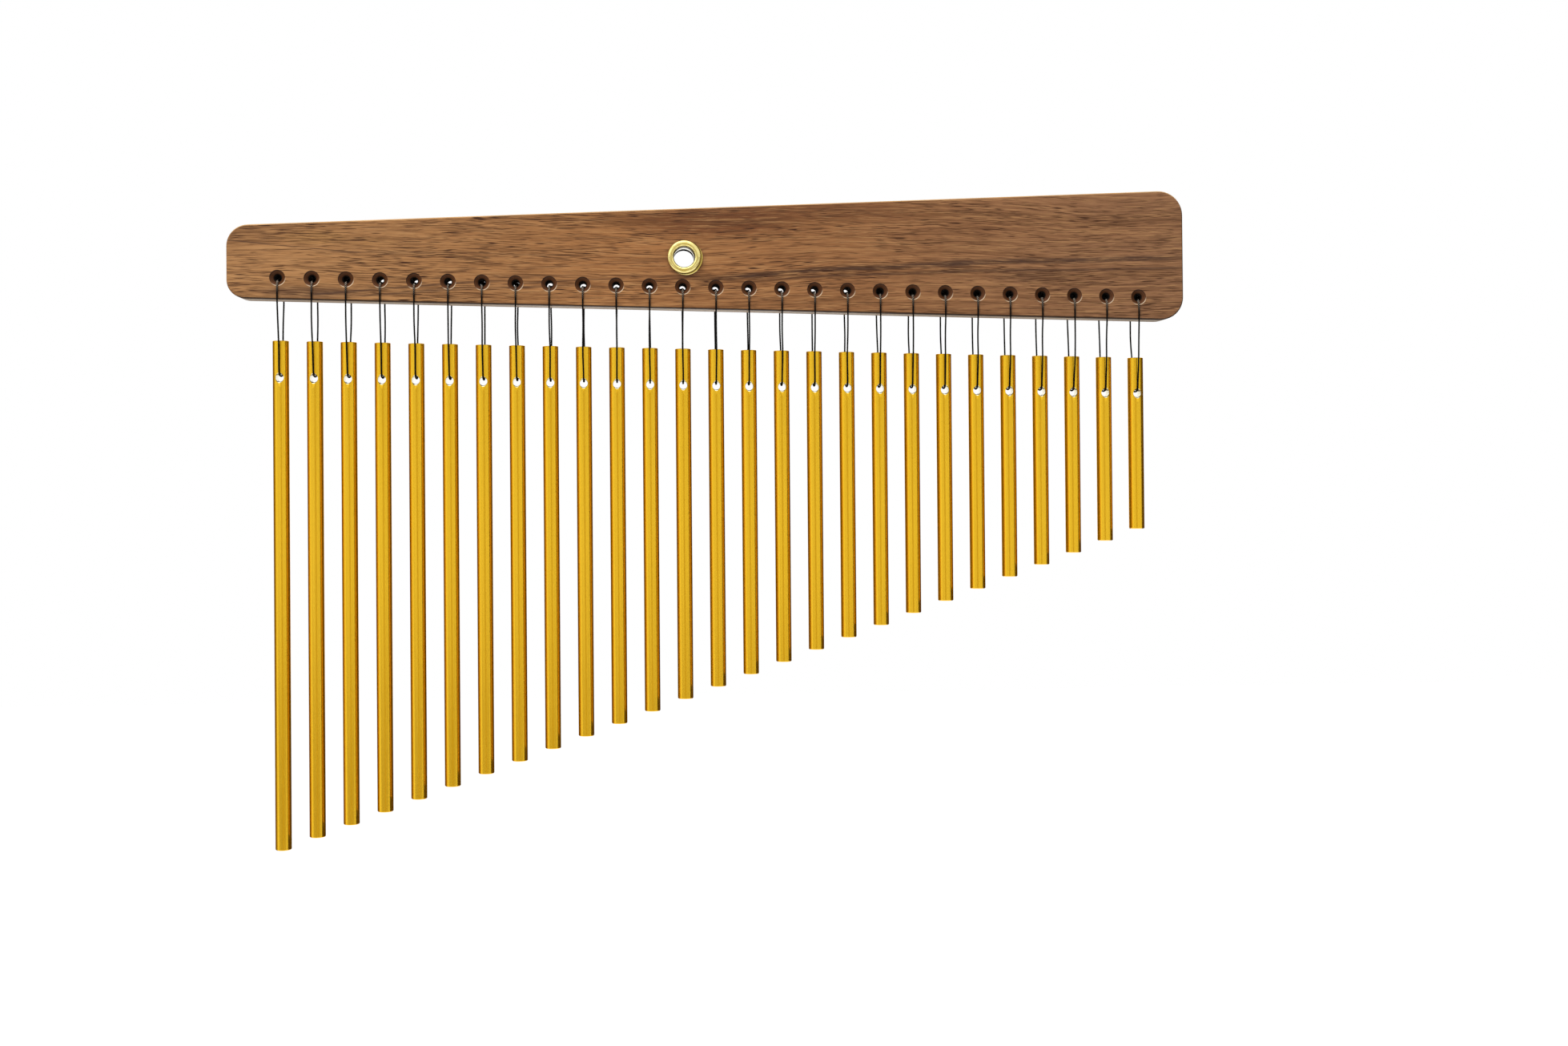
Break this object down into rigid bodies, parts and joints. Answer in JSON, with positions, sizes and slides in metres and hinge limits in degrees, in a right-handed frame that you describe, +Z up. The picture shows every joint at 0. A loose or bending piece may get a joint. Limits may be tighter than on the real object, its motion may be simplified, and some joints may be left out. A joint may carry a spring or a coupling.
{
  "type": "bar chimes",
  "caption": "Bar chimes: a row of gold metal bars in falling lengths, each on a black cord loop under a tapered wooden mantle with a brass hanging grommet.",
  "frame": {"origin": "the middle of the grommet's bore, halfway through the mantle", "axes": "+X along the mantle towards its wide end and the shortest bar, -Y out of the front face, +Z up"},
  "size_m": [0.585, 0.0244, 0.3985],
  "materials": {
    "mantle_wood": "satin oiled walnut",
    "grommet_brass": "polished",
    "chime_gold": "gold anodised, satin",
    "cord_black": "twisted cord"
  },
  "bodies": {
    "mantle": {"mantle": "mantle_wood", "grommet_eyelet": "grommet_brass", "grommet_front_washer": "grommet_brass", "grommet_rear_washer": "grommet_brass"},
    "cord_01": {"cord_01": "cord_black"},
    "chime_01": {"chime_01": "chime_gold"},
    "cord_02": {"cord_02": "cord_black"},
    "chime_02": {"chime_02": "chime_gold"},
    "cord_03": {"cord_03": "cord_black"},
    "chime_03": {"chime_03": "chime_gold"},
    "cord_04": {"cord_04": "cord_black"},
    "chime_04": {"chime_04": "chime_gold"},
    "cord_05": {"cord_05": "cord_black"},
    "chime_05": {"chime_05": "chime_gold"},
    "cord_06": {"cord_06": "cord_black"},
    "chime_06": {"chime_06": "chime_gold"},
    "cord_07": {"cord_07": "cord_black"},
    "chime_07": {"chime_07": "chime_gold"},
    "cord_08": {"cord_08": "cord_black"},
    "chime_08": {"chime_08": "chime_gold"},
    "cord_09": {"cord_09": "cord_black"},
    "chime_09": {"chime_09": "chime_gold"},
    "cord_10": {"cord_10": "cord_black"},
    "chime_10": {"chime_10": "chime_gold"},
    "cord_11": {"cord_11": "cord_black"},
    "chime_11": {"chime_11": "chime_gold"},
    "cord_12": {"cord_12": "cord_black"},
    "chime_12": {"chime_12": "chime_gold"},
    "cord_13": {"cord_13": "cord_black"},
    "chime_13": {"chime_13": "chime_gold"},
    "cord_14": {"cord_14": "cord_black"},
    "chime_14": {"chime_14": "chime_gold"},
    "cord_15": {"cord_15": "cord_black"},
    "chime_15": {"chime_15": "chime_gold"},
    "cord_16": {"cord_16": "cord_black"},
    "chime_16": {"chime_16": "chime_gold"},
    "cord_17": {"cord_17": "cord_black"},
    "chime_17": {"chime_17": "chime_gold"},
    "cord_18": {"cord_18": "cord_black"},
    "chime_18": {"chime_18": "chime_gold"},
    "cord_19": {"cord_19": "cord_black"},
    "chime_19": {"chime_19": "chime_gold"},
    "cord_20": {"cord_20": "cord_black"},
    "chime_20": {"chime_20": "chime_gold"},
    "cord_21": {"cord_21": "cord_black"},
    "chime_21": {"chime_21": "chime_gold"},
    "cord_22": {"cord_22": "cord_black"},
    "chime_22": {"chime_22": "chime_gold"},
    "cord_23": {"cord_23": "cord_black"},
    "chime_23": {"chime_23": "chime_gold"},
    "cord_24": {"cord_24": "cord_black"},
    "chime_24": {"chime_24": "chime_gold"},
    "cord_25": {"cord_25": "cord_black"},
    "chime_25": {"chime_25": "chime_gold"},
    "cord_26": {"cord_26": "cord_black"},
    "chime_26": {"chime_26": "chime_gold"},
    "cord_27": {"cord_27": "cord_black"},
    "chime_27": {"chime_27": "chime_gold"}
  },
  "joints": [
    {"name": "cord_01_swing", "type": "hinge", "parent": "mantle", "child": "cord_01", "pos_m": [-0.244, 0, -0.01379], "axis": [0, -1, 0], "range_deg": [-20, 1.73]},
    {"name": "chime_01_swing", "type": "hinge", "parent": "cord_01", "child": "chime_01", "pos_m": [-0.244, 0, -0.07089], "axis": [0, -1, 0], "range_deg": [-20, 2.08]},
    {"name": "cord_02_swing", "type": "hinge", "parent": "mantle", "child": "cord_02", "pos_m": [-0.22375, 0, -0.01425], "axis": [0, -1, 0], "range_deg": [-1.73, 1.77]},
    {"name": "chime_02_swing", "type": "hinge", "parent": "cord_02", "child": "chime_02", "pos_m": [-0.22375, 0, -0.07135], "axis": [0, -1, 0], "range_deg": [-2.08, 2.14]},
    {"name": "cord_03_swing", "type": "hinge", "parent": "mantle", "child": "cord_03", "pos_m": [-0.2035, 0, -0.01471], "axis": [0, -1, 0], "range_deg": [-1.77, 1.81]},
    {"name": "chime_03_swing", "type": "hinge", "parent": "cord_03", "child": "chime_03", "pos_m": [-0.2035, 0, -0.07181], "axis": [0, -1, 0], "range_deg": [-2.14, 2.2]},
    {"name": "cord_04_swing", "type": "hinge", "parent": "mantle", "child": "cord_04", "pos_m": [-0.18325, 0, -0.01517], "axis": [0, -1, 0], "range_deg": [-1.81, 1.85]},
    {"name": "chime_04_swing", "type": "hinge", "parent": "cord_04", "child": "chime_04", "pos_m": [-0.18325, 0, -0.07227], "axis": [0, -1, 0], "range_deg": [-2.2, 2.27]},
    {"name": "cord_05_swing", "type": "hinge", "parent": "mantle", "child": "cord_05", "pos_m": [-0.163, 0, -0.01563], "axis": [0, -1, 0], "range_deg": [-1.86, 1.9]},
    {"name": "chime_05_swing", "type": "hinge", "parent": "cord_05", "child": "chime_05", "pos_m": [-0.163, 0, -0.07273], "axis": [0, -1, 0], "range_deg": [-2.27, 2.34]},
    {"name": "cord_06_swing", "type": "hinge", "parent": "mantle", "child": "cord_06", "pos_m": [-0.14275, 0, -0.01609], "axis": [0, -1, 0], "range_deg": [-1.9, 1.95]},
    {"name": "chime_06_swing", "type": "hinge", "parent": "cord_06", "child": "chime_06", "pos_m": [-0.14275, 0, -0.07319], "axis": [0, -1, 0], "range_deg": [-2.34, 2.41]},
    {"name": "cord_07_swing", "type": "hinge", "parent": "mantle", "child": "cord_07", "pos_m": [-0.1225, 0, -0.01655], "axis": [0, -1, 0], "range_deg": [-1.95, 2]},
    {"name": "chime_07_swing", "type": "hinge", "parent": "cord_07", "child": "chime_07", "pos_m": [-0.1225, 0, -0.07365], "axis": [0, -1, 0], "range_deg": [-2.42, 2.49]},
    {"name": "cord_08_swing", "type": "hinge", "parent": "mantle", "child": "cord_08", "pos_m": [-0.10225, 0, -0.01701], "axis": [0, -1, 0], "range_deg": [-2, 2.06]},
    {"name": "chime_08_swing", "type": "hinge", "parent": "cord_08", "child": "chime_08", "pos_m": [-0.10225, 0, -0.07411], "axis": [0, -1, 0], "range_deg": [-2.5, 2.58]},
    {"name": "cord_09_swing", "type": "hinge", "parent": "mantle", "child": "cord_09", "pos_m": [-0.082, 0, -0.01747], "axis": [0, -1, 0], "range_deg": [-2.06, 2.11]},
    {"name": "chime_09_swing", "type": "hinge", "parent": "cord_09", "child": "chime_09", "pos_m": [-0.082, 0, -0.07457], "axis": [0, -1, 0], "range_deg": [-2.58, 2.67]},
    {"name": "cord_10_swing", "type": "hinge", "parent": "mantle", "child": "cord_10", "pos_m": [-0.06175, 0, -0.01793], "axis": [0, -1, 0], "range_deg": [-2.12, 2.17]},
    {"name": "chime_10_swing", "type": "hinge", "parent": "cord_10", "child": "chime_10", "pos_m": [-0.06175, 0, -0.07503], "axis": [0, -1, 0], "range_deg": [-2.67, 2.77]},
    {"name": "cord_11_swing", "type": "hinge", "parent": "mantle", "child": "cord_11", "pos_m": [-0.0415, 0, -0.01839], "axis": [0, -1, 0], "range_deg": [-2.18, 2.24]},
    {"name": "chime_11_swing", "type": "hinge", "parent": "cord_11", "child": "chime_11", "pos_m": [-0.0415, 0, -0.07549], "axis": [0, -1, 0], "range_deg": [-2.77, 2.87]},
    {"name": "cord_12_swing", "type": "hinge", "parent": "mantle", "child": "cord_12", "pos_m": [-0.02125, 0, -0.01885], "axis": [0, -1, 0], "range_deg": [-2.24, 2.31]},
    {"name": "chime_12_swing", "type": "hinge", "parent": "cord_12", "child": "chime_12", "pos_m": [-0.02125, 0, -0.07595], "axis": [0, -1, 0], "range_deg": [-2.88, 2.99]},
    {"name": "cord_13_swing", "type": "hinge", "parent": "mantle", "child": "cord_13", "pos_m": [-0.001, 0, -0.01931], "axis": [0, -1, 0], "range_deg": [-2.31, 2.38]},
    {"name": "chime_13_swing", "type": "hinge", "parent": "cord_13", "child": "chime_13", "pos_m": [-0.001, 0, -0.07641], "axis": [0, -1, 0], "range_deg": [-2.99, 3.11]},
    {"name": "cord_14_swing", "type": "hinge", "parent": "mantle", "child": "cord_14", "pos_m": [0.01925, 0, -0.01977], "axis": [0, -1, 0], "range_deg": [-2.38, 2.46]},
    {"name": "chime_14_swing", "type": "hinge", "parent": "cord_14", "child": "chime_14", "pos_m": [0.01925, 0, -0.07687], "axis": [0, -1, 0], "range_deg": [-3.12, 3.24]},
    {"name": "cord_15_swing", "type": "hinge", "parent": "mantle", "child": "cord_15", "pos_m": [0.0395, 0, -0.02023], "axis": [0, -1, 0], "range_deg": [-2.46, 2.54]},
    {"name": "chime_15_swing", "type": "hinge", "parent": "cord_15", "child": "chime_15", "pos_m": [0.0395, 0, -0.07733], "axis": [0, -1, 0], "range_deg": [-3.25, 3.39]},
    {"name": "cord_16_swing", "type": "hinge", "parent": "mantle", "child": "cord_16", "pos_m": [0.05975, 0, -0.02069], "axis": [0, -1, 0], "range_deg": [-2.55, 2.63]},
    {"name": "chime_16_swing", "type": "hinge", "parent": "cord_16", "child": "chime_16", "pos_m": [0.05975, 0, -0.07779], "axis": [0, -1, 0], "range_deg": [-3.4, 3.55]},
    {"name": "cord_17_swing", "type": "hinge", "parent": "mantle", "child": "cord_17", "pos_m": [0.08, 0, -0.02115], "axis": [0, -1, 0], "range_deg": [-2.63, 2.72]},
    {"name": "chime_17_swing", "type": "hinge", "parent": "cord_17", "child": "chime_17", "pos_m": [0.08, 0, -0.07825], "axis": [0, -1, 0], "range_deg": [-3.56, 3.72]},
    {"name": "cord_18_swing", "type": "hinge", "parent": "mantle", "child": "cord_18", "pos_m": [0.10025, 0, -0.02161], "axis": [0, -1, 0], "range_deg": [-2.73, 2.83]},
    {"name": "chime_18_swing", "type": "hinge", "parent": "cord_18", "child": "chime_18", "pos_m": [0.10025, 0, -0.07871], "axis": [0, -1, 0], "range_deg": [-3.73, 3.91]},
    {"name": "cord_19_swing", "type": "hinge", "parent": "mantle", "child": "cord_19", "pos_m": [0.1205, 0, -0.02207], "axis": [0, -1, 0], "range_deg": [-2.83, 2.94]},
    {"name": "chime_19_swing", "type": "hinge", "parent": "cord_19", "child": "chime_19", "pos_m": [0.1205, 0, -0.07917], "axis": [0, -1, 0], "range_deg": [-3.93, 4.13]},
    {"name": "cord_20_swing", "type": "hinge", "parent": "mantle", "child": "cord_20", "pos_m": [0.14075, 0, -0.02253], "axis": [0, -1, 0], "range_deg": [-2.94, 3.06]},
    {"name": "chime_20_swing", "type": "hinge", "parent": "cord_20", "child": "chime_20", "pos_m": [0.14075, 0, -0.07963], "axis": [0, -1, 0], "range_deg": [-4.14, 4.37]},
    {"name": "cord_21_swing", "type": "hinge", "parent": "mantle", "child": "cord_21", "pos_m": [0.161, 0, -0.02299], "axis": [0, -1, 0], "range_deg": [-3.06, 3.18]},
    {"name": "chime_21_swing", "type": "hinge", "parent": "cord_21", "child": "chime_21", "pos_m": [0.161, 0, -0.08009], "axis": [0, -1, 0], "range_deg": [-4.38, 4.63]},
    {"name": "cord_22_swing", "type": "hinge", "parent": "mantle", "child": "cord_22", "pos_m": [0.18125, 0, -0.02345], "axis": [0, -1, 0], "range_deg": [-3.19, 3.32]},
    {"name": "chime_22_swing", "type": "hinge", "parent": "cord_22", "child": "chime_22", "pos_m": [0.18125, 0, -0.08055], "axis": [0, -1, 0], "range_deg": [-4.65, 4.94]},
    {"name": "cord_23_swing", "type": "hinge", "parent": "mantle", "child": "cord_23", "pos_m": [0.2015, 0, -0.02391], "axis": [0, -1, 0], "range_deg": [-3.33, 3.48]},
    {"name": "chime_23_swing", "type": "hinge", "parent": "cord_23", "child": "chime_23", "pos_m": [0.2015, 0, -0.08101], "axis": [0, -1, 0], "range_deg": [-4.96, 5.28]},
    {"name": "cord_24_swing", "type": "hinge", "parent": "mantle", "child": "cord_24", "pos_m": [0.22175, 0, -0.02437], "axis": [0, -1, 0], "range_deg": [-3.49, 3.65]},
    {"name": "chime_24_swing", "type": "hinge", "parent": "cord_24", "child": "chime_24", "pos_m": [0.22175, 0, -0.08147], "axis": [0, -1, 0], "range_deg": [-5.3, 5.68]},
    {"name": "cord_25_swing", "type": "hinge", "parent": "mantle", "child": "cord_25", "pos_m": [0.242, 0, -0.02483], "axis": [0, -1, 0], "range_deg": [-3.66, 3.83]},
    {"name": "chime_25_swing", "type": "hinge", "parent": "cord_25", "child": "chime_25", "pos_m": [0.242, 0, -0.08193], "axis": [0, -1, 0], "range_deg": [-5.7, 6.14]},
    {"name": "cord_26_swing", "type": "hinge", "parent": "mantle", "child": "cord_26", "pos_m": [0.26225, 0, -0.02529], "axis": [0, -1, 0], "range_deg": [-3.84, 4.03]},
    {"name": "chime_26_swing", "type": "hinge", "parent": "cord_26", "child": "chime_26", "pos_m": [0.26225, 0, -0.08239], "axis": [0, -1, 0], "range_deg": [-6.17, 6.68]},
    {"name": "cord_27_swing", "type": "hinge", "parent": "mantle", "child": "cord_27", "pos_m": [0.2825, 0, -0.02575], "axis": [0, -1, 0], "range_deg": [-4.05, 20]},
    {"name": "chime_27_swing", "type": "hinge", "parent": "cord_27", "child": "chime_27", "pos_m": [0.2825, 0, -0.08285], "axis": [0, -1, 0], "range_deg": [-6.71, 20]}
  ]
}
